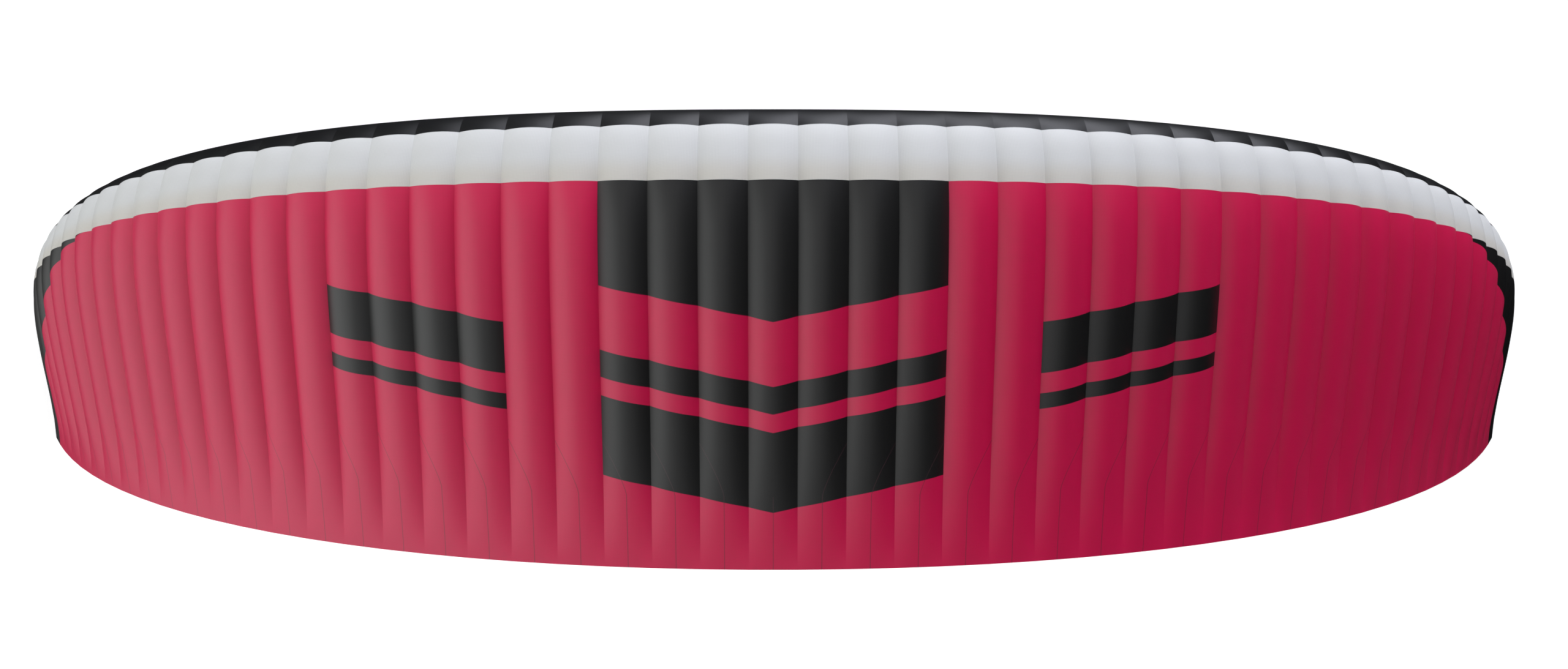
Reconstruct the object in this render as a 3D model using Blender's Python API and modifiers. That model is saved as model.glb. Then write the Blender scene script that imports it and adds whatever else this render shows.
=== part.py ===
"""Paraglider wing: a ram-air canopy in its inflated flying arc, standing on its two tips.

+X runs along the span, +Y points in the flying direction and +Z is up, all in metres.
The origin lies on the floor under the middle of the wing. Forty-nine cells lie side by
side. Each is closed by an upper and a lower skin and parted from the next by a flat
profile rib. Air enters through a slot in the lower side of the nose. The outermost
rib of each side is a closing plate that lies flat on the floor.
"""

import math

import bmesh
import bpy
from mathutils import Matrix, Vector

# Cells, counted from the centre cell out to the tip.
SIDE_CELLS = 24
CENTRE_CELL_WIDTH = 0.27
CELL_TAPER = 0.35
CELL_TAPER_POWER = 2.6

# The arc that the wing is inflated in: slope of the span line at the tip, and its build-up.
TIP_SLOPE = math.radians(78.0)
EVEN_SLOPE_SHARE = 0.8
TIP_RIB_LEAN_POWER = 10
ARC_STEPS = 8

# Planform: leading edge sweep, trailing edge sweep and chord.
ROOT_CHORD = 2.56
NOSE_SWEEP = 1.02
NOSE_SWEEP_POWER = 2.5
NOSE_SWEEP_ROUNDNESS = 1.6
NOSE_SWEEP_REACH = 0.99
TAIL_SWEEP = 0.69
TAIL_SWEEP_POWER = 1.95
TIP_TWIST = math.radians(3.0)
TWIST_PIVOT = 0.3

# Profile heights as shares of the chord, and how fast the profile thins to the tail.
ROOT_CROWN = 0.075
TIP_CROWN = 0.095
BELLY = 0.055
CROWN_THINNING = 1.7
BELLY_THINNING = 1.1

# Cells swell between the ribs by a share of their width. The swelling grows from nothing
# on the nose line to full at a station, and fades again towards the tail.
SWELL = 0.115
FULL_SWELL_STATION = 0.30
SWELL_FADE_POWER = 3.0

# Cloth and the gaps between its pieces.
CLOTH = 0.002
RIB_GAP = 0.0003
PANEL_GAP = 0.0012
SECTION_GAP = 0.0006
TAIL_GAP = 0.0004
TIP_GAP = 0.0008
SEAM_FOLD_ALLOWANCE = 0.00015

# Chordwise places, as shares of the chord, where one panel ends and the next begins.
NOSE_BORDER = 0.037
BAND_BORDER = 0.156
LIP = 0.0145
ROOT_MOUTH = 0.050
TIP_MOUTH = 0.004
MOUTH_FADE_POWER = 8

# Distance from the origin forward to the nose of the centre ribs.
NOSE_Y = 1.2798

# A station is the square root of a share of the chord, negative on the lower side of the
# profile. Panels are laid out by the stations of their cross lines.
# Panels named in SEWN_WHOLE run from tip to tip, the others in the sections below.
UPPER_PANELS = (
    # name, colour, roughness, chordwise stations
    ("nose_panels", (0.030, 0.030, 0.032), 0.55,
     (-math.sqrt(LIP), -0.06, 0.0, 0.065, 0.13, math.sqrt(NOSE_BORDER))),
    ("band_panels", (0.80, 0.80, 0.78), 0.60,
     (math.sqrt(NOSE_BORDER), 0.29, math.sqrt(BAND_BORDER))),
    ("main_panels", (0.43, 0.024, 0.068), 0.55,
     (math.sqrt(BAND_BORDER), 0.49, 0.59, 0.69, 0.785, 0.87, 0.94, 1.0)),
)
SEWN_WHOLE = ("band_panels",)
SIDE_SECTION_CELLS = 16
LOWER_STATIONS = (0.40, 0.56, 0.71, 0.85, 1.0)
RIB_TAIL_END = 0.97
LOWER_COLOUR = (0.62, 0.62, 0.61)
RIB_COLOUR = (0.75, 0.75, 0.74)
UPPER_FACETS = 3
LOWER_FACETS = 2


def half_widths():
    """Distance along the span line from the middle of the wing to each rib of one side."""
    stations = [CENTRE_CELL_WIDTH / 2]
    for cell in range(1, SIDE_CELLS + 1):
        taper = CELL_TAPER * (cell / SIDE_CELLS) ** CELL_TAPER_POWER
        stations.append(stations[-1] + CENTRE_CELL_WIDTH * (1 - taper))
    return stations


STATIONS = half_widths()
HALF_SPAN = STATIONS[-1]
RIBS_PER_SIDE = len(STATIONS)


def span_slope(share):
    """Slope of the span line at a share of the half span."""
    return TIP_SLOPE * (EVEN_SLOPE_SHARE * share + (1 - EVEN_SLOPE_SHARE) * share ** 2)


def arc_points():
    """Sideways place and drop of each rib of one side, from walking along the span line."""
    x, drop, start = 0.0, 0.0, 0.0
    points = []
    for end in STATIONS:
        step = (end - start) / ARC_STEPS
        for index in range(ARC_STEPS):
            slope = span_slope((start + (index + 0.5) * step) / HALF_SPAN)
            x += step * math.cos(slope)
            drop += step * math.sin(slope)
        start = end
        points.append((x, drop))
    return points


ARC = arc_points()


def nose_line(share):
    """How far the nose lies behind the centre nose at a share of the half span."""
    reach = (NOSE_SWEEP_REACH * share) ** NOSE_SWEEP_POWER
    return NOSE_SWEEP * (1 - (1 - reach) ** (1 / NOSE_SWEEP_ROUNDNESS))


def tail_line(share):
    """How far the tail lies behind the centre nose at a share of the half span."""
    return ROOT_CHORD - TAIL_SWEEP * (NOSE_SWEEP_REACH * share) ** TAIL_SWEEP_POWER


class Rib:
    """Plane, chord and profile of one rib. Side is -1 on the left and 1 on the right."""

    def __init__(self, number, side):
        share = STATIONS[number - 1] / HALF_SPAN
        x, drop = ARC[number - 1]
        slope = span_slope(share)
        upright = math.pi / 2 - TIP_SLOPE
        lean = slope + upright * share ** TIP_RIB_LEAN_POWER
        twist = TIP_TWIST * share ** 2
        outward = Vector((side * math.sin(lean), 0, math.cos(lean)))
        forward = Vector((0, 1, 0))
        nose = nose_line(share)
        z = ARC[-1][1] - drop + CLOTH + TIP_GAP
        self.number = number
        self.side = side
        self.share = share
        self.chord = tail_line(share) - nose
        self.crown = ROOT_CROWN + (TIP_CROWN - ROOT_CROWN) * share ** 3
        self.aft = -forward * math.cos(twist) - outward * math.sin(twist)
        self.up = outward * math.cos(twist) - forward * math.sin(twist)
        pivot = TWIST_PIVOT * self.chord * math.sin(twist)
        self.origin = Vector((side * x, NOSE_Y - nose, z)) + outward * pivot
        self.skew = math.tan(lean - slope)

    def profile(self, station):
        """Chordwise and upward place in the rib's plane, upper side for positive stations."""
        share = station ** 2
        if station >= 0:
            peak = thinning_peak(CROWN_THINNING)
            height = self.crown * station * (1 - share) ** CROWN_THINNING / peak
            tail = (CLOTH + TAIL_GAP / 2) * share
        else:
            peak = thinning_peak(BELLY_THINNING)
            height = BELLY * station * (1 - share) ** BELLY_THINNING / peak
            tail = -(CLOTH + TAIL_GAP / 2) * share
        return Vector((share * self.chord, height * self.chord + tail))

    def normal(self, station):
        """Outward direction in the rib's plane, square to the profile."""
        step = 0.004
        start = self.profile(max(station - step, -1.0))
        along = self.profile(min(station + step, 1.0)) - start
        return Vector((-along.y, along.x)).normalized()

    def place(self, flat):
        """Point in space of a chordwise and upward pair."""
        return self.origin + self.aft * flat.x + self.up * flat.y

    def direction(self, flat):
        """Direction in space of a chordwise and upward pair."""
        return self.aft * flat.x + self.up * flat.y

    def matrix(self):
        """Frame whose X runs along the chord, Y up and Z along the span."""
        across = self.aft.cross(self.up)
        axes = Matrix((self.aft, self.up, across)).transposed()
        return Matrix.Translation(self.origin) @ axes.to_4x4()


def thinning_peak(power):
    """Largest value of station * (1 - station squared) ** power."""
    share = 0.5 / (0.5 + power)
    return math.sqrt(share) * (1 - share) ** power


def all_ribs():
    """Ribs from the left tip to the right tip."""
    left = [Rib(number, -1) for number in range(RIBS_PER_SIDE, 0, -1)]
    right = [Rib(number, 1) for number in range(1, RIBS_PER_SIDE + 1)]
    return left + right


def swelling(station):
    """Share of the full swelling at a station."""
    rise = min(abs(station) / FULL_SWELL_STATION, 1.0)
    fade = 1 - (station ** 2) ** SWELL_FADE_POWER
    return rise * rise * (3 - 2 * rise) * fade


def skin_point(ribs, cell, across, station):
    """Outer face of the skin in a cell, at a share of its width and a chordwise station."""
    left, right = ribs[cell], ribs[cell + 1]
    start = left.place(left.profile(station))
    end = right.place(right.profile(station))
    out_left = left.direction(left.normal(station))
    out_right = right.direction(right.normal(station))
    outward = out_left.lerp(out_right, across).normalized()
    bow = SWELL * (end - start).length * 4 * across * (1 - across)
    return start.lerp(end, across) + outward * bow * swelling(station)


def mouth_edge(share):
    """Station of the lower skin's front edge, which closes up to the lip at the tips."""
    fade = share ** MOUTH_FADE_POWER
    return math.sqrt(LIP + ROOT_MOUTH * (1 - fade) + TIP_MOUTH * fade)


def cloth_material(name, colour, roughness):
    """Plain woven cloth of one colour."""
    material = bpy.data.materials.new(name)
    material.use_nodes = True
    shader = material.node_tree.nodes["Principled BSDF"]
    shader.inputs["Base Color"].default_value = (*colour, 1)
    shader.inputs["Roughness"].default_value = roughness
    shader.inputs["Metallic"].default_value = 0
    material.diffuse_color = (*colour, 1)
    return material


def side_allowances(ribs):
    """Shares of the first and last cell that a section leaves free beside its neighbours."""
    shares = []
    for edge, inner in ((ribs[0], ribs[1]), (ribs[-1], ribs[-2])):
        width = (edge.origin - inner.origin).length
        joined = edge.number < RIBS_PER_SIDE
        shares.append(SECTION_GAP / 2 / width if joined else 0.0)
    return shares


def add_skin(name, ribs, facets, stations, material, collection):
    """Skin over the cells between some ribs: a grid laid on the wing and thickened inwards.

    The stations hold, for each rib, the chordwise places of the grid's cross lines.
    """
    columns = (len(ribs) - 1) * facets
    rows = len(stations[0]) - 1
    first_allowance, last_allowance = side_allowances(ribs)
    grid = bmesh.new()
    bmesh.ops.create_grid(grid, x_segments=columns, y_segments=rows, size=1)
    grid.verts.ensure_lookup_table()
    for row in range(rows + 1):
        for column in range(columns + 1):
            cell = min(column // facets, len(ribs) - 2)
            across = column / facets - cell
            if column == 0:
                across = first_allowance
            if column == columns:
                across = 1 - last_allowance
            left, right = stations[cell][row], stations[cell + 1][row]
            station = left + (right - left) * across
            vertex = grid.verts[row * (columns + 1) + column]
            vertex.co = skin_point(ribs, cell, across, station)
    bmesh.ops.reverse_faces(grid, faces=grid.faces)
    mesh = bpy.data.meshes.new(name)
    grid.to_mesh(mesh)
    grid.free()
    mesh.materials.append(material)
    mesh.shade_smooth()
    skin = bpy.data.objects.new(name, mesh)
    collection.objects.link(skin)
    cloth = skin.modifiers.new("Cloth", "SOLIDIFY")
    cloth.thickness = CLOTH
    cloth.offset = -1
    cloth.use_even_offset = True
    return skin


def add_sections(name, ribs, facets, stations, material, collection):
    """Skin in a left, a centre and a right section, which meet along ribs."""
    last = len(ribs) - 1
    borders = (0, SIDE_SECTION_CELLS, last - SIDE_SECTION_CELLS, last)
    for side, start, end in zip(("left", "centre", "right"), borders, borders[1:]):
        section = slice(start, end + 1)
        add_skin(f"{name}_{side}", ribs[section], facets, stations[section], material,
                 collection)


def upper_stations(rib, stations):
    """Stations of an upper panel at a rib, its cross edges drawn back by half a gap."""
    shares = [math.copysign(station ** 2, station) for station in stations]
    shares[0] += PANEL_GAP / 2 / rib.chord
    if shares[-1] < 1:
        shares[-1] -= PANEL_GAP / 2 / rib.chord
    return [math.copysign(math.sqrt(abs(share)), share) for share in shares]


def lower_stations(rib):
    """Stations of the lower skin at a rib, from the tail forward to the mouth."""
    tail_to_front = [-station for station in reversed(LOWER_STATIONS)]
    return tail_to_front + [-mouth_edge(rib.share)]


def profile_outline(rib, tail_end):
    """Profile as a closed outline, from the tail forward below and back over the nose."""
    order = [-tail_end]
    order += [station for station in lower_stations(rib) if station > -tail_end]
    for _, _, _, stations in UPPER_PANELS:
        order += [station for station in stations if order[-1] < station < tail_end]
    return [rib.profile(station) for station in order + [tail_end]]


def rib_inset(rib, inward):
    """Distance from the skin's outer face to the rib's edge, where inward points.

    It grows on the swept nose of the outer ribs, where the skin runs aslant to the rib.
    """
    before = nose_line(rib.share - 0.002)
    sweep = (nose_line(rib.share) - before) / (0.002 * HALF_SPAN)
    aslant = sweep * abs(inward.x) + rib.skew * abs(inward.y)
    depth = CLOTH + SEAM_FOLD_ALLOWANCE + RIB_GAP
    return depth * math.hypot(1, aslant) + CLOTH / 2 * aslant


def drawn_in(rib, outline):
    """Outline of a rib with its edges moved inwards, clear of the skins."""
    result = []
    for index, corner in enumerate(outline):
        before = (corner - outline[index - 1]).normalized()
        after = (outline[(index + 1) % len(outline)] - corner).normalized()
        inward = Vector((before.y + after.y, -before.x - after.x)).normalized()
        bend = inward.dot(Vector((after.y, -after.x)))
        result.append(corner + inward * rib_inset(rib, inward) / bend)
    return result


def add_plate(name, outline, matrix, material, collection):
    """Flat piece of cloth with the given outline, centred on its plane."""
    curve = bpy.data.curves.new(name, "CURVE")
    curve.dimensions = "2D"
    curve.fill_mode = "BOTH"
    curve.extrude = CLOTH / 2
    spline = curve.splines.new("POLY")
    spline.points.add(len(outline) - 1)
    for point, corner in zip(spline.points, outline):
        point.co = (corner.x, corner.y, 0, 1)
    spline.use_cyclic_u = True
    curve.materials.append(material)
    plate = bpy.data.objects.new(name, curve)
    collection.objects.link(plate)
    plate.matrix_world = matrix
    return plate


def add_ribs(ribs, material, collection):
    """Profile ribs between the skins, and a closing plate under each tip."""
    for rib in ribs:
        side = "left" if rib.side < 0 else "right"
        if rib.number == RIBS_PER_SIDE:
            outline = profile_outline(rib, 1.0)
            drop = Matrix.Translation((0, 0, -TIP_GAP - CLOTH / 2))
            add_plate(f"tip_{side}", outline, drop @ rib.matrix(), material, collection)
        else:
            outline = drawn_in(rib, profile_outline(rib, RIB_TAIL_END))
            name = f"rib_{side}_{rib.number:02d}"
            add_plate(name, outline, rib.matrix(), material, collection)


def main():
    """Clear the scene and build the wing."""
    for item in list(bpy.data.objects):
        bpy.data.objects.remove(item, do_unlink=True)
    collection = bpy.data.collections.new("paraglider_wing")
    bpy.context.scene.collection.children.link(collection)
    ribs = all_ribs()
    for name, colour, roughness, stations in UPPER_PANELS:
        at_ribs = [upper_stations(rib, stations) for rib in ribs]
        material = cloth_material(name, colour, roughness)
        lay = add_skin if name in SEWN_WHOLE else add_sections
        lay(name, ribs, UPPER_FACETS, at_ribs, material, collection)
    at_ribs = [lower_stations(rib) for rib in ribs]
    material = cloth_material("lower_skin", LOWER_COLOUR, 0.6)
    add_sections("lower_skin", ribs, LOWER_FACETS, at_ribs, material, collection)
    add_ribs(ribs, cloth_material("ribs", RIB_COLOUR, 0.6), collection)


main()
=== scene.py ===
"""Finish of a paraglider wing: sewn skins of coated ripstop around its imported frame.

+X runs along the span, +Y points in the flying direction and +Z is up, all in metres.
The wing stands on its two tips. Each skin is a fine grid laid on the wing's own surface,
with the cells swollen between the ribs, the mini-rib seams near the tail and the colours
of the panels.
"""

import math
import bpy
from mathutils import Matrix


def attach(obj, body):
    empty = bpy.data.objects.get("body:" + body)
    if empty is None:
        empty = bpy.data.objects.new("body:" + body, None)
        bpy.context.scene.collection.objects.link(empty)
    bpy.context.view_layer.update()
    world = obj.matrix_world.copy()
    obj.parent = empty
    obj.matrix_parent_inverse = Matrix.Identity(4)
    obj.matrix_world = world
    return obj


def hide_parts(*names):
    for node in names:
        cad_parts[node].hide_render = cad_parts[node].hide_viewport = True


bl_info = {
    "name": "Paraglider Wing",
    "version": (1, 0, 0),
    "blender": (4, 5, 0),
    "location": "View3D > Sidebar > Wing",
    "description": "Sews the skins of a ram-air wing and finishes its cloth",
    "category": "Object",
}

import bmesh
import bpy
import numpy as np
from bpy.props import FloatProperty, FloatVectorProperty, IntProperty, PointerProperty

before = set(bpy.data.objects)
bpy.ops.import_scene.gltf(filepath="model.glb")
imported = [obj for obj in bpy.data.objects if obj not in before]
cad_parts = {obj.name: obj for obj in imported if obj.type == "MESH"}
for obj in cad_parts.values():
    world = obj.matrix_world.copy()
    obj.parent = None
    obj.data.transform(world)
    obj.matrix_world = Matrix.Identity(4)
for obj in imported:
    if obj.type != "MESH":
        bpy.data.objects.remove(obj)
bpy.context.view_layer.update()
BODY = "root"

# Cells, counted from the centre cell out to the tip.
SIDE_CELLS = 24
CELLS = 2 * SIDE_CELLS + 1
CENTRE_CELL_WIDTH = 0.27
CELL_TAPER = 0.35
CELL_TAPER_POWER = 2.6

# The arc that the wing is inflated in.
TIP_SLOPE = math.radians(78.0)
EVEN_SLOPE_SHARE = 0.8
TIP_RIB_LEAN_POWER = 10
ARC_STEPS = 8

# Planform: leading edge sweep, trailing edge sweep and chord.
ROOT_CHORD = 2.56
NOSE_SWEEP = 1.02
NOSE_SWEEP_POWER = 2.5
NOSE_SWEEP_ROUNDNESS = 1.6
NOSE_SWEEP_REACH = 0.99
TAIL_SWEEP = 0.69
TAIL_SWEEP_POWER = 2.04
TIP_TWIST = math.radians(3.0)
TWIST_PIVOT = 0.3
NOSE_Y = 1.2798

# Profile heights as shares of the chord, and how fast the profile thins to the tail.
ROOT_CROWN = 0.075
TIP_CROWN = 0.095
BELLY = 0.055
CROWN_THINNING = 1.7
BELLY_THINNING = 1.1

# Swelling of a cell between its ribs, as shares of its width.
SWELL = 0.115
FULL_SWELL_STATION = 0.30
SWELL_FADE_POWER = 3.0
MAIN_SWELL = 0.19
MAIN_SWELL_STATIONS = (0.27, 0.50)
MAIN_SWELL_FADE_POWER = 6.0
MAIN_SWELL_TIP_POWER = 10
TIP_SWELL_POWER = 30
PROFILE_STEP = 0.004

# Cloth, and the chordwise places where one panel ends and the next begins.
CLOTH = 0.002
TAIL_GAP = 0.0004
TIP_GAP = 0.0008
HEM_GAP = 0.0002
NOSE_BORDER = 0.037
BAND_BORDER = 0.156
LIP = 0.0145
ROOT_MOUTH = 0.050
TIP_MOUTH = 0.004
MOUTH_FADE_POWER = 8

# Mini-ribs: they leave the outer seam of a cell and run down its middle to the tail.
MINI_RIB_START = 0.725
MINI_RIB_MIDDLE = 0.84
MINI_RIB_TURN = 1.3
MINI_RIB_DEPTH = 0.09

# Sections that the long skins are sewn in, by their first and last seam.
SECTIONS = {"left": (0, 16), "centre": (16, 33), "right": (33, 49)}

# Grid rows of each skin, from its first border to its last.
NOSE_ROWS, BAND_ROWS, MAIN_ROWS, LOWER_ROWS = 26, 18, 84, 60

# Finish of the cloths: roughness, specular level, and how dark the ripstop threads are.
NOSE_ROUGHNESS, NOSE_SPECULAR, NOSE_GRID = 0.49, 0.77, 0.04
BAND_ROUGHNESS, BAND_SPECULAR, BAND_GRID = 0.66, 1.0, 0.10
MAIN_ROUGHNESS, MAIN_SPECULAR, MAIN_GRID = 0.50, 0.60, 0.05
LOWER_ROUGHNESS, LOWER_GRID = 0.55, 0.08
RIB_ROUGHNESS, RIB_GRID = 0.6, 0.05
PLAIN_SPECULAR = 0.5
# Shares of the chord over which the pale band turns from its own white to the painted shade at its
# rear.
BAND_SHADE_SHARES = (0.095, 0.145)

# Ripstop: half widths of a thread as shares of the grid, unevenness of tone, and relief.
THREAD_EDGES = (0.16, 0.02)
TONE_SCALE, TONE_DETAIL, TONE_RANGE = 5.0, 3.0, 0.08
RELIEF_STRENGTH, RELIEF_DISTANCE = 0.25, 0.0004

# Line of a mini-rib seam: soft edges as shares of its half width, tint, and gap in a stitch.
LINE_EDGES = (1.6, 0.5)
LINE_TINT, LINE_STRENGTH = (0.05, 0.02, 0.025), 0.7
STITCH_GAP = 0.3

# Dark fields, in cells from the middle of the wing and shares of the chord.
FIELD_BLUR = 0.0007
FIELD_LEAN = 0.022
TIP_FIELD_START, TIP_FIELD_REACH = 17.1, 6.9
TIP_FIELD_DEPTH, TIP_FIELD_POWER = 0.62, 2.4
TIP_FIELD_OVERLAP = 0.002
LAST_CELL = 23.5
CENTRE_FIELD_HALF, CENTRE_FIELD_END = 3.5, 0.875
CHEVRONS = ((0.46, 0.60), (0.66, 0.70))
STRIPE_CELLS, STRIPE_MIDDLE = (5.5, 9.5), 7.5
STRIPES = ((0.42, 0.535), (0.58, 0.615))

# Where the light comes from, as degrees round from the flying direction and above the floor.
KEY_BEARING, KEY_HEIGHT, KEY_ANGLE = 254.8, 10.8, 83.0
FRONT_BEARING, FRONT_HEIGHT, FRONT_ANGLE = 18.8, 16.0, 53.0
KEY_TINT = (0.98, 1.0, 0.99)
FRONT_TINT = (0.98, 1.0, 1.10)
FRONT_GLOSS = 0.55
TOP_BEARING, TOP_HEIGHT, TOP_ANGLE = 270.0, 77.0, 60.0
DOME_ANGLE = 180.0
WHITE = (1.0, 1.0, 1.0)

# Floor and camera. The camera looks straight down on the wing.
FLOOR_HALF = 150.0
FLOOR_DROP = 0.001
FLOOR_COLOUR, FLOOR_ROUGHNESS = (0.45, 0.45, 0.45), 0.9
CAMERA_PLACE = (0.06, 0.028, 35.383)
CAMERA_LENS = 132.85
CAMERA_SENSOR = 36.0
CAMERA_REACH = 400.0

# Layout of shader nodes in the editor.
NODE_STEP = (180, -220)
NODES_IN_ROW = 12


class WingColours(bpy.types.PropertyGroup):
    """Colours of the wing's cloth, and a painted shade for the rear of the pale band."""

    nose: FloatVectorProperty(
        name="Nose", description="Cloth of the leading edge", subtype="COLOR",
        size=3, min=0, max=1, default=(0.0018, 0.0018, 0.0020))
    band: FloatVectorProperty(
        name="Band", description="Pale cloth behind the nose", subtype="COLOR",
        size=3, min=0, max=1, default=(0.560, 0.565, 0.558))
    # Painted shade: the rear of the pale band, darker and warmer where it turns away from the
    # front light.
    band_rear_shade: FloatVectorProperty(
        name="Band Rear Shade", description="Tone of the pale cloth towards the crimson panels",
        subtype="COLOR", size=3, min=0, max=1, default=(0.532, 0.512, 0.469))
    main: FloatVectorProperty(
        name="Main", description="Crimson cloth of the upper skin", subtype="COLOR",
        size=3, min=0, max=1, default=(0.530, 0.0018, 0.057))
    dark: FloatVectorProperty(
        name="Dark", description="Dark fields of the upper skin", subtype="COLOR",
        size=3, min=0, max=1, default=(0.0062, 0.0060, 0.0058))
    lower: FloatVectorProperty(
        name="Underside", description="Cloth of the lower skin", subtype="COLOR",
        size=3, min=0, max=1, default=(0.62, 0.62, 0.61))
    rib: FloatVectorProperty(
        name="Rib", description="Stiff cloth of the ribs", subtype="COLOR",
        size=3, min=0, max=1, default=(0.75, 0.75, 0.74))


class WingSewing(bpy.types.PropertyGroup):
    """Fineness of the skins and sizes of weave and stitches."""

    columns: IntProperty(
        name="Columns", description="Grid columns across one cell", default=16, min=4, max=32)
    weave: FloatProperty(
        name="Ripstop Grid", description="Distance between the reinforcing threads",
        default=0.008, min=0.002, max=0.03, unit="LENGTH")
    stitch: FloatProperty(
        name="Stitch", description="Length of one stitch", default=0.0035,
        min=0.001, max=0.02, unit="LENGTH")
    seam_line: FloatProperty(
        name="Seam Line", description="Width of the line that a mini-rib seam draws",
        default=0.0035, min=0.001, max=0.02, unit="LENGTH")


class WingStage(bpy.types.PropertyGroup):
    """Light of the stage."""

    key: FloatProperty(name="Key", description="Strength of the light from the left",
                       default=2.56, min=0)
    front: FloatProperty(name="Front", description="Strength of the light from the front",
                         default=4.24, min=0)
    sky: FloatProperty(name="Sky", description="Strength of the light all round",
                       default=0.03, min=0)
    dome: FloatProperty(name="Dome", description="Strength of the shadowless light from above",
                        default=0.754, min=0)
    top: FloatProperty(name="Top", description="Strength of the sheen from overhead",
                       default=0.58, min=0)
    glow: FloatProperty(name="Floor Glow", description="How much the floor is lifted to white",
                        default=0.80, min=0)


def span_slope(share):
    """Slope of the span line at a share of the half span."""
    return TIP_SLOPE * (EVEN_SLOPE_SHARE * share + (1 - EVEN_SLOPE_SHARE) * share ** 2)


def walk_arc(reach):
    """Sideways place and drop of the ribs of one side, from walking along the span line."""
    x, drop, start = 0.0, 0.0, 0.0
    places = []
    for end in reach:
        step = (end - start) / ARC_STEPS
        for index in range(ARC_STEPS):
            slope = span_slope((start + (index + 0.5) * step) / reach[-1])
            x += step * math.cos(slope)
            drop += step * math.sin(slope)
        start = end
        places.append((x, drop))
    return np.array(places).T


def thinning_peak(power):
    """Largest value of station * (1 - station squared) ** power."""
    share = 0.5 / (0.5 + power)
    return math.sqrt(share) * (1 - share) ** power


def smooth_rise(start, end, value):
    """Soft step from 0 at the start to 1 at the end."""
    rise = np.clip((value - start) / (end - start), 0, 1)
    return rise * rise * (3 - 2 * rise)


def swelling(station, span_share):
    """Height of a cell's swelling at a station, as a share of its width."""
    power = np.where(station > 0, MAIN_SWELL_FADE_POWER, SWELL_FADE_POWER)
    growth = smooth_rise(*MAIN_SWELL_STATIONS, station) * (1 - span_share ** MAIN_SWELL_TIP_POWER)
    height = SWELL + (MAIN_SWELL - SWELL) * growth
    fade = (1 - (station ** 2) ** power) * (1 - span_share ** TIP_SWELL_POWER)
    return height * smooth_rise(0, FULL_SWELL_STATION, np.abs(station)) * fade


def unit(vectors):
    """Vectors at length 1."""
    return vectors / np.linalg.norm(vectors, axis=-1, keepdims=True)


class RibFan:
    """All ribs from the left tip to the right one, as arrays with a row for each rib."""

    def __init__(self):
        cells = np.arange(1, SIDE_CELLS + 1)
        taper = CELL_TAPER * (cells / SIDE_CELLS) ** CELL_TAPER_POWER
        steps = np.cumsum(CENTRE_CELL_WIDTH * (1 - taper))
        reach = CENTRE_CELL_WIDTH / 2 + np.concatenate(([0.0], steps))
        x, drop = walk_arc(reach)
        side = np.repeat((-1.0, 1.0), len(reach))
        x, drop, share = (np.concatenate((half[::-1], half))
                          for half in (x, drop, reach / reach[-1]))
        lean = span_slope(share) + (math.pi / 2 - TIP_SLOPE) * share ** TIP_RIB_LEAN_POWER
        twist = (TIP_TWIST * share ** 2)[:, None]
        outward = np.column_stack((side * np.sin(lean), 0 * lean, np.cos(lean)))
        forward = np.array((0.0, 1.0, 0.0))
        swept = (NOSE_SWEEP_REACH * share) ** NOSE_SWEEP_POWER
        nose = NOSE_SWEEP * (1 - (1 - swept) ** (1 / NOSE_SWEEP_ROUNDNESS))
        tail = ROOT_CHORD - TAIL_SWEEP * (NOSE_SWEEP_REACH * share) ** TAIL_SWEEP_POWER
        z = drop.max() - drop + CLOTH + TIP_GAP
        self.share = share
        self.half_span = reach[-1]
        self.chord = tail - nose
        self.crown = ROOT_CROWN + (TIP_CROWN - ROOT_CROWN) * share ** 3
        self.aft = -forward * np.cos(twist) - outward * np.sin(twist)
        self.up = outward * np.cos(twist) - forward * np.sin(twist)
        pivot = TWIST_PIVOT * self.chord[:, None] * np.sin(twist)
        self.origin = np.column_stack((side * x, NOSE_Y - nose, z)) + outward * pivot
        self.width = np.linalg.norm(np.diff(self.origin, axis=0), axis=1)
        fade = share ** MOUTH_FADE_POWER
        self.mouth = LIP + ROOT_MOUTH * (1 - fade) + TIP_MOUTH * fade

    def profile(self, rib, station):
        """Chordwise and upward place in a rib's plane, upper side for positive stations."""
        share = station ** 2
        over = self.crown[rib] * station * (1 - share) ** CROWN_THINNING
        under = BELLY * station * (1 - share) ** BELLY_THINNING
        height = np.where(station >= 0, over / thinning_peak(CROWN_THINNING),
                          under / thinning_peak(BELLY_THINNING))
        tail = np.sign(station) * (CLOTH + TAIL_GAP / 2) * share
        return share * self.chord[rib], height * self.chord[rib] + tail

    def place(self, rib, station):
        """Point of a rib's edge in space."""
        along, height = self.profile(rib, station)
        return (self.origin[rib] + self.aft[rib] * along[..., None]
                + self.up[rib] * height[..., None])

    def normal(self, rib, station):
        """Outward direction in the rib's plane, square to the profile."""
        start = self.profile(rib, np.maximum(station - PROFILE_STEP, -1.0))
        end = self.profile(rib, np.minimum(station + PROFILE_STEP, 1.0))
        along, rise = end[0] - start[0], end[1] - start[1]
        return unit(self.aft[rib] * -rise[..., None] + self.up[rib] * along[..., None])

    def skin(self, cell, across, station, bulge):
        """Points of a skin at shares of a cell's width, bowed out between its ribs."""
        start, end = self.place(cell, station), self.place(cell + 1, station)
        weight = across[..., None]
        outward = unit(self.normal(cell, station) * (1 - weight)
                       + self.normal(cell + 1, station) * weight)
        span_share = self.share[cell] * (1 - across) + self.share[cell + 1] * across
        bow = np.linalg.norm(end - start, axis=-1) * bulge * swelling(station, span_share)
        return start + (end - start) * weight + outward * bow[..., None]


FAN = RibFan()


def plain_bulge(cell, across, share):
    """Bulge of a cell without a mini-rib, as a share of its full height."""
    return 4 * across * (1 - across)


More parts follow.
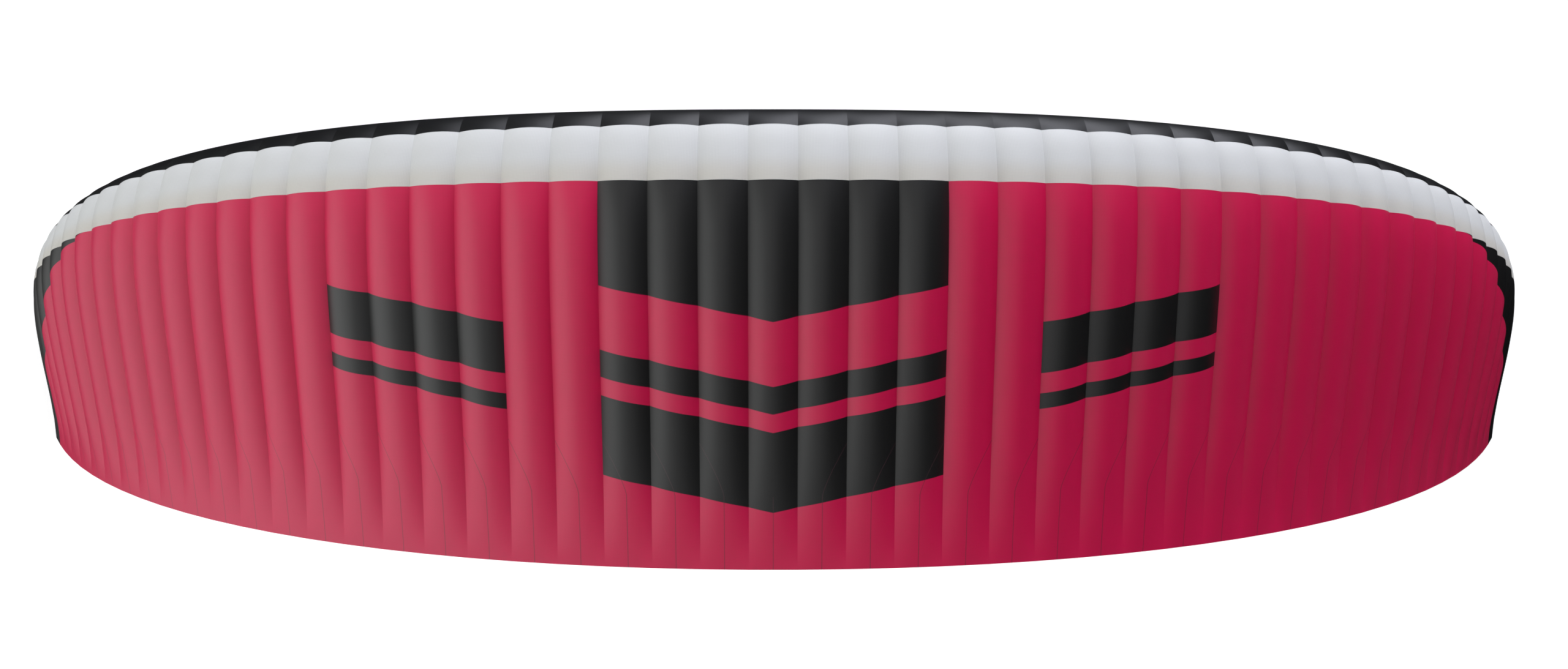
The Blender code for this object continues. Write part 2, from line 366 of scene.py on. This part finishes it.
def tail_bulge(cell, across, share):
    """Bulge of a cell that a mini-rib splits in two near the tail."""
    outer = np.where(cell < SIDE_CELLS, 0.0, np.where(cell > SIDE_CELLS, 1.0, 0.5))
    run = np.clip((share - MINI_RIB_START) / (MINI_RIB_MIDDLE - MINI_RIB_START), 0, 1)
    line = outer + (0.5 - outer) * (1 - (1 - run) ** MINI_RIB_TURN)
    depth = MINI_RIB_DEPTH * smooth_rise(MINI_RIB_START, 1.0, share)
    crease = np.clip(1 - np.abs(across - line) / 0.5, 0, 1) ** 2
    return 4 * across * (1 - across) - depth * 4 * line * (1 - line) * crease


def station_rows(first_share, last_share, rows):
    """Stations of a skin's cross lines, a row for each line and a column for each rib.

    One of the two shares may be a single number for all ribs.
    """
    first, last = (np.sign(share) * np.sqrt(np.abs(share)) for share in (first_share, last_share))
    return np.linspace(first, last, rows + 1)


def crease_edges(grid, columns, per_cell, rows):
    """Marks the hems, the seams along the ribs and the mini-rib seams as sharp edges."""
    for edge in grid.edges:
        if edge.is_boundary:
            edge.smooth = False
            continue
        column = edge.verts[0].index % (columns + 1)
        if column != edge.verts[1].index % (columns + 1):
            continue
        row = min(vertex.index // (columns + 1) for vertex in edge.verts)
        if column % per_cell == 0 or (row >= rows and column % per_cell == per_cell // 2):
            edge.smooth = False


def add_skin(name, cells, stations, bulge, crease_from=None):
    """Skin over some cells: a grid laid on the wing's surface and thickened inwards.

    The stations hold a row for each cross line and a column for each rib of the wing.
    Returns the skin and its points, by cross line and column.
    """
    per_cell = bpy.context.scene.wing_sewing.columns
    first, last = cells
    columns, rows = (last - first) * per_cell, len(stations) - 1
    grid = bmesh.new()
    bmesh.ops.create_grid(grid, x_segments=columns, y_segments=rows, size=1)
    bmesh.ops.reverse_faces(grid, faces=grid.faces)
    grid.verts.ensure_lookup_table()
    crease_edges(grid, columns, per_cell, rows if crease_from is None else crease_from)
    mesh = bpy.data.meshes.new(name)
    grid.to_mesh(mesh)
    grid.free()

    row, column = np.divmod(np.arange(len(mesh.vertices)), columns + 1)
    cell = np.minimum(first + column // per_cell, last - 1)
    across = first + column / per_cell - cell
    station = stations[row, cell] * (1 - across) + stations[row, cell + 1] * across
    share = station ** 2
    points = FAN.skin(cell, across, station, bulge(cell, across, share))
    mesh.vertices.foreach_set("co", points.astype(np.float32).ravel())

    corner = np.zeros(len(mesh.loops), np.int32)
    mesh.loops.foreach_get("vertex_index", corner)
    face_column = column[corner].reshape(-1, 4).min(axis=1).repeat(4)
    face_cell = first + face_column // per_cell
    span_place = first + column[corner] / per_cell
    lines = points.reshape(rows + 1, columns + 1, 3)
    steps = np.linalg.norm(np.diff(lines, axis=0), axis=-1)
    length = np.concatenate((np.zeros((1, columns + 1)), np.cumsum(steps, axis=0)))
    set_uv(mesh, "Panel", span_place, (np.sign(station) * share)[corner])
    set_uv(mesh, "Weave", (span_place - face_cell - 0.5) * FAN.width[face_cell],
           length.ravel()[corner])
    mesh.shade_smooth()

    skin = bpy.data.objects.new(name, mesh)
    bpy.context.scene.collection.objects.link(skin)
    cloth = skin.modifiers.new("Cloth", "SOLIDIFY")
    cloth.thickness = CLOTH
    cloth.offset = -1
    cloth.use_even_offset = True
    return skin, lines


def set_uv(mesh, name, u, v):
    """UV map with the given values at the face corners."""
    layer = mesh.uv_layers.new(name=name)
    layer.uv.foreach_set("vector", np.column_stack((u, v)).astype(np.float32).ravel())


def declare_rib(node):
    """Reads a flat rib's points and centres them; nothing further is done with them."""
    mesh = node.data
    points = np.empty(3 * len(mesh.vertices))
    mesh.vertices.foreach_get("co", points)
    points = points.reshape(-1, 3) - points.reshape(-1, 3).mean(axis=0)


def seat(piece, slot, material, *nodes):
    """Gives a piece its material and its place in the frame."""
    piece.data.materials.append(material)
    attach(piece, BODY)
    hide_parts(*nodes)


class Wiring:
    """Short calls that lay nodes in a tree and link them."""

    def __init__(self, tree):
        self.tree = tree
        self.count = 0

    def add(self, kind, **settings):
        """New node, placed to the right of the last one."""
        node = self.tree.nodes.new(kind)
        row, place = divmod(self.count, NODES_IN_ROW)
        node.location = (NODE_STEP[0] * place, NODE_STEP[1] * row)
        self.count += 1
        for name, value in settings.items():
            setattr(node, name, value)
        return node

    def feed(self, socket, value):
        """Links an output to a socket, or sets the socket's own value."""
        if isinstance(value, bpy.types.NodeSocket):
            self.tree.links.new(value, socket)
        else:
            socket.default_value = value

    def math(self, operation, *values):
        """Result of a Math node."""
        node = self.add("ShaderNodeMath", operation=operation)
        for socket, value in zip(node.inputs, values):
            self.feed(socket, value)
        return node.outputs[0]

    def rise(self, value, start, end):
        """Soft step of a value, from 0 at the start to 1 at the end."""
        node = self.add("ShaderNodeMapRange", interpolation_type="SMOOTHSTEP")
        for name, item in (("Value", value), ("From Min", start), ("From Max", end)):
            self.feed(node.inputs[name], item)
        return node.outputs[0]

    def mix(self, factor, first, second, blend="MIX"):
        """Mixed colour."""
        node = self.add("ShaderNodeMix", data_type="RGBA", blend_type=blend)
        for socket, value in ((node.inputs[0], factor), (node.inputs[6], first),
                              (node.inputs[7], second)):
            self.feed(socket, value)
        return node.outputs[2]

    def noise(self, vector, scale, detail):
        """Soft noise around one half."""
        node = self.add("ShaderNodeTexNoise")
        self.feed(node.inputs["Vector"], vector)
        node.inputs["Scale"].default_value = scale
        node.inputs["Detail"].default_value = detail
        return node.outputs["Fac"]

    def group(self, tree, **values):
        """Node of a shader group, with its inputs set by name."""
        node = self.add("ShaderNodeGroup", node_tree=tree)
        for name, value in values.items():
            self.feed(node.inputs[name.replace("_", " ")], value)
        return node.outputs

    def uv(self, name):
        """A UV map of the piece."""
        return self.add("ShaderNodeUVMap", uv_map=name).outputs[0]

    def split(self, vector):
        """The X and Y of a vector."""
        node = self.add("ShaderNodeSeparateXYZ")
        self.feed(node.inputs[0], vector)
        return node.outputs[0], node.outputs[1]


def new_group(name, inputs, outputs):
    """Shader group with named sockets; returns its wiring, inputs and outputs."""
    tree = bpy.data.node_groups.new(name, "ShaderNodeTree")
    kinds = {"float": "NodeSocketFloat", "colour": "NodeSocketColor", "vector": "NodeSocketVector"}
    for title, kind in inputs.items():
        tree.interface.new_socket(title, in_out="INPUT", socket_type=kinds[kind])
    for title, kind in outputs.items():
        tree.interface.new_socket(title, in_out="OUTPUT", socket_type=kinds[kind])
    wiring = Wiring(tree)
    entry = wiring.add("NodeGroupInput")
    leave = wiring.add("NodeGroupOutput")
    return tree, wiring, entry.outputs, leave.inputs


def ripstop_group():
    """Coated ripstop: a square grid of thicker threads, with a faint unevenness of tone."""
    tree, w, given, out = new_group(
        "Ripstop", {"Weave": "vector", "Colour": "colour", "Pitch": "float", "Grid": "float"},
        {"Colour": "colour", "Height": "float"})
    threads = []
    for place in w.split(given["Weave"]):
        turn = w.math("FRACT", w.math("DIVIDE", place, given["Pitch"]))
        from_line = w.math("ABSOLUTE", w.math("SUBTRACT", turn, 0.5))
        threads.append(w.rise(from_line, *THREAD_EDGES))
    grid = w.math("MAXIMUM", *threads)
    tone = w.noise(given["Weave"], TONE_SCALE, TONE_DETAIL)
    dimmed = w.math("MULTIPLY", grid, given["Grid"])
    uneven = w.math("ADD", 1 - TONE_RANGE / 2, w.math("MULTIPLY", tone, TONE_RANGE))
    shade = w.math("SUBTRACT", uneven, dimmed)
    tinted = w.add("ShaderNodeVectorMath", operation="SCALE")
    w.feed(tinted.inputs[0], given["Colour"])
    w.feed(tinted.inputs["Scale"], shade)
    w.feed(out["Colour"], tinted.outputs[0])
    w.feed(out["Height"], grid)
    return tree


def panel_group():
    """Where a point lies on the wing.

    Gives its distance from the middle in cells, its share of the chord, and its share of
    the cell's width, counted outwards.
    """
    tree, w, given, out = new_group(
        "Panel Place", {"Panel": "vector"},
        {"From Middle": "float", "Share": "float", "Outwards": "float"})
    span, share = w.split(given["Panel"])
    offset = w.math("SUBTRACT", span, CELLS / 2)
    across = w.math("FRACT", span)
    right = w.math("GREATER_THAN", offset, 0.0)
    mirrored = w.math("SUBTRACT", 1.0, across)
    outwards = w.add("ShaderNodeMix", data_type="FLOAT")
    for socket, value in zip(outwards.inputs[:1] + outwards.inputs[2:4],
                             (right, mirrored, across)):
        w.feed(socket, value)
    w.feed(out["From Middle"], w.math("ABSOLUTE", offset))
    w.feed(out["Share"], share)
    w.feed(out["Outwards"], outwards.outputs[0])
    return tree


def mini_seam_group():
    """Line of stitches that a mini-rib draws on the upper skin, near the tail."""
    tree, w, given, out = new_group(
        "Mini-rib Seam",
        {"Outwards": "float", "Share": "float", "From Middle": "float", "Weave": "vector",
         "Cell Width": "float", "Line": "float", "Stitch": "float"},
        {"Line": "float", "Stitches": "float"})
    run = w.math("DIVIDE", w.math("SUBTRACT", given["Share"], MINI_RIB_START),
                 MINI_RIB_MIDDLE - MINI_RIB_START)
    rest = w.math("MINIMUM", w.math("MAXIMUM", w.math("SUBTRACT", 1.0, run), 0.0), 1.0)
    turn = w.math("SUBTRACT", 1.0, w.math("POWER", rest, MINI_RIB_TURN))
    in_middle = w.math("LESS_THAN", given["From Middle"], 0.5)
    place = w.math("MINIMUM", w.math("SUBTRACT", 1.0, w.math("MULTIPLY", turn, 0.5)),
                   w.math("SUBTRACT", 1.0, w.math("MULTIPLY", in_middle, 0.5)))
    distance = w.math("ABSOLUTE", w.math("SUBTRACT", given["Outwards"], place))
    metres = w.math("MULTIPLY", distance, given["Cell Width"])
    begun = w.math("GREATER_THAN", given["Share"],
                   w.math("ADD", MINI_RIB_START,
                          w.math("MULTIPLY", in_middle, MINI_RIB_MIDDLE - MINI_RIB_START)))
    half = w.math("MULTIPLY", given["Line"], 0.5)
    edges = (w.math("MULTIPLY", half, share) for share in LINE_EDGES)
    line = w.math("MULTIPLY", w.rise(metres, *edges), begun)
    along = w.split(given["Weave"])[1]
    beat = w.math("FRACT", w.math("DIVIDE", along, given["Stitch"]))
    stitch = w.math("GREATER_THAN", beat, STITCH_GAP)
    w.feed(out["Line"], line)
    w.feed(out["Stitches"], w.math("MULTIPLY", line, stitch))
    return tree


def design_group():
    """Dark fields of the upper skin: tips, a centre field with chevrons, and side stripes."""
    tree, w, given, out = new_group(
        "Dark Fields", {"From Middle": "float", "Share": "float"}, {"Dark": "float"})
    span, share = given["From Middle"], given["Share"]

    def below(value, limit):
        return w.rise(value, w.math("ADD", limit, FIELD_BLUR),
                      w.math("SUBTRACT", limit, FIELD_BLUR))

    def between(value, low, high):
        return w.math("MULTIPLY", below(low, value), below(value, high))

    def either(value, bands):
        return w.math("MAXIMUM", *(between(value, *band) for band in bands))

    # Tips: the dark edge runs back from the band to the tail over the outer cells.
    outer = w.math("DIVIDE", w.math("SUBTRACT", span, TIP_FIELD_START), TIP_FIELD_REACH)
    sweep = w.math("POWER", w.math("MAXIMUM", outer, 0.0), TIP_FIELD_POWER)
    edge = w.math("ADD", BAND_BORDER - TIP_FIELD_OVERLAP,
                  w.math("MULTIPLY", sweep, TIP_FIELD_DEPTH))
    tip = w.math("MAXIMUM", below(share, edge), w.math("GREATER_THAN", span, LAST_CELL))
    # Centre field: seven cells wide, with a pointed tail end and two chevrons left out.
    slanted = w.math("ADD", share, w.math("MULTIPLY", span, FIELD_LEAN))
    field = w.math("MULTIPLY", below(span, CENTRE_FIELD_HALF), below(slanted, CENTRE_FIELD_END))
    field = w.math("MULTIPLY", field, w.math("SUBTRACT", 1.0, either(slanted, CHEVRONS)))
    # Side stripes: they lean the same way.
    offset = w.math("SUBTRACT", span, STRIPE_MIDDLE)
    leaning = w.math("ADD", share, w.math("MULTIPLY", offset, FIELD_LEAN))
    stripes = w.math("MULTIPLY", either(leaning, STRIPES), between(span, *STRIPE_CELLS))
    w.feed(out["Dark"], w.math("MAXIMUM", w.math("MAXIMUM", tip, field), stripes))
    return tree


def groups():
    """The shared shader groups, built once."""
    makers = {"Ripstop": ripstop_group, "Panel Place": panel_group,
              "Mini-rib Seam": mini_seam_group, "Dark Fields": design_group}
    for name, maker in makers.items():
        if name not in bpy.data.node_groups:
            maker()
    return bpy.data.node_groups


def cloth_material(name, roughness, specular=PLAIN_SPECULAR):
    """Material with a Principled shader; returns it with its wiring and shader."""
    material = bpy.data.materials.new(name)
    material.use_nodes = True
    wiring = Wiring(material.node_tree)
    shader = material.node_tree.nodes["Principled BSDF"]
    shader.inputs["Roughness"].default_value = roughness
    shader.inputs["Specular IOR Level"].default_value = specular
    return material, wiring, shader


def weave_onto(wiring, shader, colour, weave, pitch, grid, extra_height=None):
    """Lays the ripstop group over a colour and feeds the shader's colour and normal."""
    woven = wiring.group(groups()["Ripstop"], Weave=weave, Colour=colour, Pitch=pitch, Grid=grid)
    wiring.feed(shader.inputs["Base Color"], woven["Colour"])
    height = woven["Height"]
    if extra_height is not None:
        height = wiring.math("ADD", height, extra_height)
    bump = wiring.add("ShaderNodeBump")
    bump.inputs["Strength"].default_value = RELIEF_STRENGTH
    bump.inputs["Distance"].default_value = RELIEF_DISTANCE
    wiring.feed(bump.inputs["Height"], height)
    wiring.feed(shader.inputs["Normal"], bump.outputs[0])


def plain_cloth(name, colour, roughness, grid, specular=PLAIN_SPECULAR):
    """Ripstop of one colour on the piece's own UV maps."""
    sewing = bpy.context.scene.wing_sewing
    material, wiring, shader = cloth_material(name, roughness, specular)
    weave_onto(wiring, shader, (*colour, 1), wiring.uv("Weave"), sewing.weave, grid)
    return material


def main_cloth():
    """Crimson ripstop with the dark fields and the mini-rib seams."""
    colours = bpy.context.scene.wing_colours
    sewing = bpy.context.scene.wing_sewing
    material, w, shader = cloth_material("main_cloth", MAIN_ROUGHNESS, MAIN_SPECULAR)
    weave = w.uv("Weave")
    place = w.group(groups()["Panel Place"], Panel=w.uv("Panel"))
    dark = w.group(groups()["Dark Fields"], From_Middle=place["From Middle"],
                   Share=place["Share"])["Dark"]
    seam = w.group(groups()["Mini-rib Seam"], Outwards=place["Outwards"], Share=place["Share"],
                   From_Middle=place["From Middle"], Weave=weave,
                   Cell_Width=CENTRE_CELL_WIDTH, Line=sewing.seam_line, Stitch=sewing.stitch)
    colour = w.mix(dark, (*colours.main, 1), (*colours.dark, 1))
    colour = w.mix(w.math("MULTIPLY", seam["Line"], LINE_STRENGTH), colour, (*LINE_TINT, 1))
    weave_onto(w, shader, colour, weave, sewing.weave, MAIN_GRID, seam["Stitches"])
    return material


class WING_OT_nose_panels(bpy.types.Operator):
    """Sews the dark panels of the leading edge, from the lower lip over the nose."""

    bl_idname = "wing.nose_panels"
    bl_label = "Nose Panels"

    def execute(self, context):
        colours = context.scene.wing_colours
        material = plain_cloth("nose_cloth", colours.nose, NOSE_ROUGHNESS, NOSE_GRID,
                               NOSE_SPECULAR)
        stations = station_rows(-LIP, NOSE_BORDER - HEM_GAP / FAN.chord, NOSE_ROWS)
        for side, cells in SECTIONS.items():
            skin, lines = add_skin(f"nose_{side}", cells, stations, plain_bulge)
            seat(skin, "nose_cloth", material, f"nose_panels_{side}")
        return {"FINISHED"}


class WING_OT_band_panels(bpy.types.Operator):
    """Sews the pale band behind the nose."""

    bl_idname = "wing.band_panels"
    bl_label = "Band Panels"

    def execute(self, context):
        colours = context.scene.wing_colours
        sewing = context.scene.wing_sewing
        material, w, shader = cloth_material("band_cloth", BAND_ROUGHNESS, BAND_SPECULAR)
        place = w.group(groups()["Panel Place"], Panel=w.uv("Panel"))
        # The band's white turns to a painted shade, darker and warmer, towards its rear.
        colour = w.mix(w.rise(place["Share"], *BAND_SHADE_SHARES), (*colours.band, 1),
                       (*colours.band_rear_shade, 1))
        weave_onto(w, shader, colour, w.uv("Weave"), sewing.weave, BAND_GRID)
        stations = station_rows(NOSE_BORDER + HEM_GAP / FAN.chord,
                                BAND_BORDER - HEM_GAP / FAN.chord, BAND_ROWS)
        skin, lines = add_skin("band", (0, CELLS), stations, plain_bulge)
        seat(skin, "band_cloth", material, "band_panels")
        return {"FINISHED"}


class WING_OT_main_panels(bpy.types.Operator):
    """Sews the crimson upper skin from the band to the tail, with its mini-rib seams."""

    bl_idname = "wing.main_panels"
    bl_label = "Main Panels"

    def execute(self, context):
        material = main_cloth()
        stations = station_rows(BAND_BORDER + HEM_GAP / FAN.chord, 1, MAIN_ROWS)
        share = stations[:, SIDE_CELLS] ** 2
        crease_from = int(np.searchsorted(share, MINI_RIB_MIDDLE))
        for side, cells in SECTIONS.items():
            skin, lines = add_skin(f"main_{side}", cells, stations, tail_bulge, crease_from)
            seat(skin, "main_cloth", material, f"main_panels_{side}")
        return {"FINISHED"}


class WING_OT_lower_skin(bpy.types.Operator):
    """Sews the lower skin, from the tail forward to the intakes."""

    bl_idname = "wing.lower_skin"
    bl_label = "Lower Skin"

    def execute(self, context):
        colours = context.scene.wing_colours
        material = plain_cloth("lower_cloth", colours.lower, LOWER_ROUGHNESS, LOWER_GRID)
        stations = station_rows(-1, -FAN.mouth, LOWER_ROWS)
        for side, cells in SECTIONS.items():
            skin, lines = add_skin(f"lower_{side}", cells, stations, plain_bulge)
            seat(skin, "lower_cloth", material, f"lower_skin_{side}")
        return {"FINISHED"}


class WING_OT_ribs(bpy.types.Operator):
    """Finishes the ribs and the closing plates of the tips, which the frame holds."""

    bl_idname = "wing.ribs"
    bl_label = "Ribs and Tip Plates"

    def execute(self, context):
        colours = context.scene.wing_colours
        sewing = context.scene.wing_sewing
        for start, slot, colour in (("rib_", "rib_cloth", colours.rib),
                                    ("tip_", "tip_cloth", colours.nose)):
            material, wiring, shader = cloth_material(slot, RIB_ROUGHNESS)
            place = wiring.add("ShaderNodeTexCoord").outputs["Object"]
            mapping = wiring.add("ShaderNodeMapping")
            wiring.feed(mapping.inputs[0], place)
            mapping.inputs["Rotation"].default_value = (math.pi / 2, 0, math.pi / 2)
            weave_onto(wiring, shader, (*colour, 1), mapping.outputs[0], sewing.weave, RIB_GRID)
            for name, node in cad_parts.items():
                if name.startswith(start):
                    node.data.materials.clear()
                    node.data.materials.append(material)
                    declare_rib(node)
        return {"FINISHED"}


def aim_light(name, bearing, height, angle, colour, strength):
    """Sun lamp that shines from a bearing, clockwise from the flying direction."""
    data = bpy.data.lights.new(name, "SUN")
    data.energy = strength
    data.angle = math.radians(angle)
    data.color = colour
    lamp = bpy.data.objects.new(name, data)
    lamp.rotation_euler = (math.radians(90 - height), 0, math.radians(180 - bearing))
    bpy.context.scene.collection.objects.link(lamp)
    return lamp


class WING_OT_stage(bpy.types.Operator):
    """Sets the floor, the lights and the camera."""

    bl_idname = "wing.stage"
    bl_label = "Stage"

    def execute(self, context):
        scene = context.scene
        stage = scene.wing_stage
        grid = bmesh.new()
        bmesh.ops.create_grid(grid, x_segments=1, y_segments=1, size=FLOOR_HALF)
        bmesh.ops.translate(grid, verts=grid.verts, vec=(0, 0, -FLOOR_DROP))
        mesh = bpy.data.meshes.new("floor")
        grid.to_mesh(mesh)
        grid.free()
        floor = bpy.data.objects.new("floor", mesh)
        scene.collection.objects.link(floor)
        material, wiring, shader = cloth_material("floor", FLOOR_ROUGHNESS, 0.0)
        shader.inputs["Base Color"].default_value = (*FLOOR_COLOUR, 1)
        shader.inputs["Emission Color"].default_value = (*WHITE, 1)
        seen = wiring.add("ShaderNodeLightPath").outputs["Is Camera Ray"]
        wiring.feed(shader.inputs["Emission Strength"], wiring.math("MULTIPLY", seen, stage.glow))
        mesh.materials.append(material)
        floor.visible_glossy = False
        floor.visible_shadow = False

        aim_light("key", KEY_BEARING, KEY_HEIGHT, KEY_ANGLE, KEY_TINT, stage.key)
        front = (FRONT_BEARING, FRONT_HEIGHT, FRONT_ANGLE, FRONT_TINT)
        aim_light("front", *front, stage.front * FRONT_GLOSS)
        soft = aim_light("front_soft", *front, stage.front * (1 - FRONT_GLOSS))
        dome = aim_light("dome", 0, 90, DOME_ANGLE, WHITE, stage.dome)
        top = aim_light("top", TOP_BEARING, TOP_HEIGHT, TOP_ANGLE, WHITE, stage.top)
        # These lamps give either no sheen or only sheen. Multiple importance sampling would
        # still let the sheen through.
        for lamp in (soft, dome, top):
            lamp.visible_glossy = lamp is top
            lamp.visible_diffuse = lamp is not top
            lamp.data.cycles.use_multiple_importance_sampling = False
        world = bpy.data.worlds.new("studio")
        world.use_nodes = True
        scene.world = world
        sky = Wiring(world.node_tree)
        background = world.node_tree.nodes["Background"]
        background.inputs["Color"].default_value = (*WHITE, 1)
        seen = sky.add("ShaderNodeLightPath").outputs["Is Camera Ray"]
        sky.feed(background.inputs["Strength"], sky.math("MAXIMUM", seen, stage.sky))
        world.cycles_visibility.glossy = False
        scene.view_settings.view_transform = "Standard"

        camera = bpy.data.objects.new("camera", bpy.data.cameras.new("camera"))
        camera.location = CAMERA_PLACE
        camera.data.lens = CAMERA_LENS
        camera.data.sensor_width = CAMERA_SENSOR
        camera.data.sensor_fit = "HORIZONTAL"
        camera.data.clip_end = CAMERA_REACH
        scene.collection.objects.link(camera)
        scene.camera = camera
        return {"FINISHED"}


class WING_PT_panel(bpy.types.Panel):
    """Lists the wing's settings and steps in the sidebar."""

    bl_idname = "WING_PT_panel"
    bl_label = "Paraglider Wing"
    bl_space_type = "VIEW_3D"
    bl_region_type = "UI"
    bl_category = "Wing"

    def draw(self, context):
        layout = self.layout
        for group in (context.scene.wing_colours, context.scene.wing_sewing,
                      context.scene.wing_stage):
            box = layout.box()
            for name in group.bl_rna.properties.keys():
                if name not in ("rna_type", "name"):
                    box.prop(group, name)
        for step in STEPS:
            layout.operator(step.bl_idname)


SETTINGS = {"wing_colours": WingColours, "wing_sewing": WingSewing, "wing_stage": WingStage}
STEPS = (WING_OT_stage, WING_OT_nose_panels, WING_OT_band_panels, WING_OT_main_panels,
         WING_OT_lower_skin, WING_OT_ribs)
CLASSES = (*SETTINGS.values(), *STEPS, WING_PT_panel)


def register():
    """Registers the classes and hangs the settings on the scene."""
    for item in CLASSES:
        bpy.utils.register_class(item)
    for name, kind in SETTINGS.items():
        setattr(bpy.types.Scene, name, PointerProperty(type=kind))


def unregister():
    """Takes the settings and classes away again."""
    for name in SETTINGS:
        delattr(bpy.types.Scene, name)
    for item in reversed(CLASSES):
        bpy.utils.unregister_class(item)


def main():
    """Runs every step in order."""
    register()
    for step in STEPS:
        area, name = step.bl_idname.split(".")
        getattr(getattr(bpy.ops, area), name)()
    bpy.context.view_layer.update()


if __name__ == "__main__":
    main()
